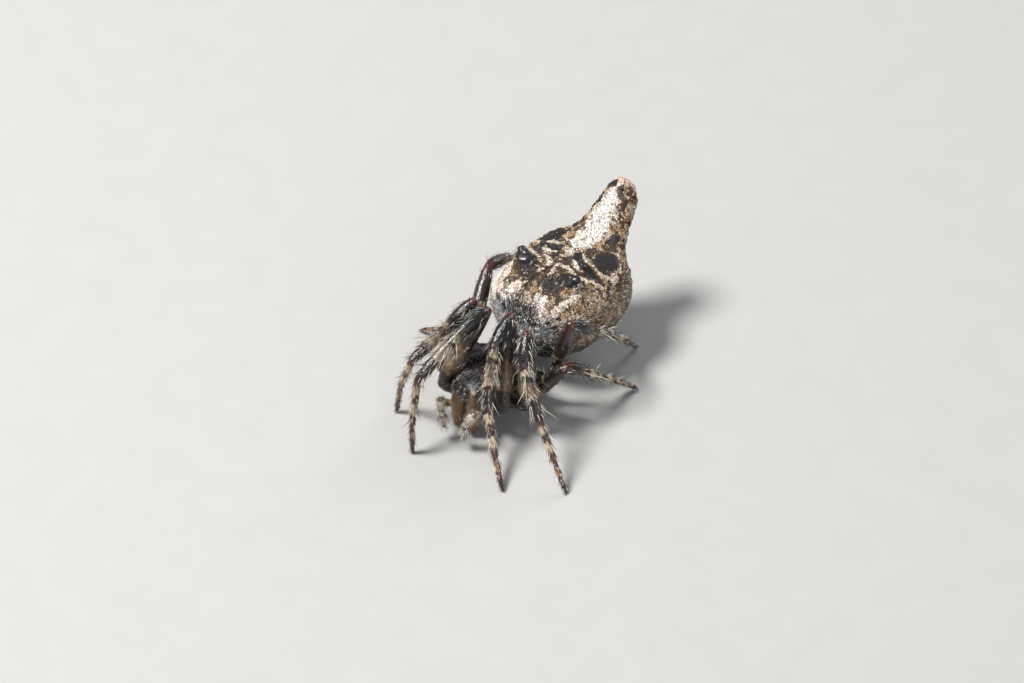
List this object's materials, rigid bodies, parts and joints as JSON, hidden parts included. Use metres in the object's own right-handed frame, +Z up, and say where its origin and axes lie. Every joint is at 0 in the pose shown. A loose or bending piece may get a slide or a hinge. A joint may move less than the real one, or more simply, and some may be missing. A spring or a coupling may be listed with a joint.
{
  "type": "orb-weaver spider",
  "caption": "Small orb-weaver spider standing with bent legs, a humped abdomen and a raised blunt tail; a still life-size model.",
  "frame": {"origin": "middle of the bounding box on the floor that the feet stand on", "axes": "-Y the way the spider faces, +X its left side, +Z up"},
  "size_m": [0.0068, 0.0088, 0.0041],
  "materials": {
    "carapace": "black cuticle with short pale setae, half gloss",
    "abdomen": "mottled silver, pink, gold brown and black cuticle with short setae",
    "tail": "white stripe on golden brown, with black patches near the end",
    "leg": "banded cream and dark red brown, bristly, half gloss",
    "mouthparts": "translucent olive brown, smooth",
    "palp": "pale with dark rings, bristly",
    "spinneret": "dark brown, short hairs",
    "eye": "glossy black"
  },
  "bodies": {
    "root": {"cephalothorax": "carapace", "abdomen": "abdomen", "abdomen_tail": "tail", "spinnerets": "spinneret", "chelicera_left": "mouthparts", "palp_left": "palp", "leg_1_left": "leg", "leg_2_left": "leg", "leg_3_left": "leg", "leg_4_left": "leg", "eye_front_median_left": "eye", "eye_rear_median_left": "eye", "eye_front_lateral_left": "eye", "eye_rear_lateral_left": "eye", "chelicera_right": "mouthparts", "palp_right": "palp", "leg_1_right": "leg", "leg_2_right": "leg", "leg_3_right": "leg", "leg_4_right": "leg", "eye_front_median_right": "eye", "eye_rear_median_right": "eye", "eye_front_lateral_right": "eye", "eye_rear_lateral_right": "eye"}
  },
  "joints": []
}
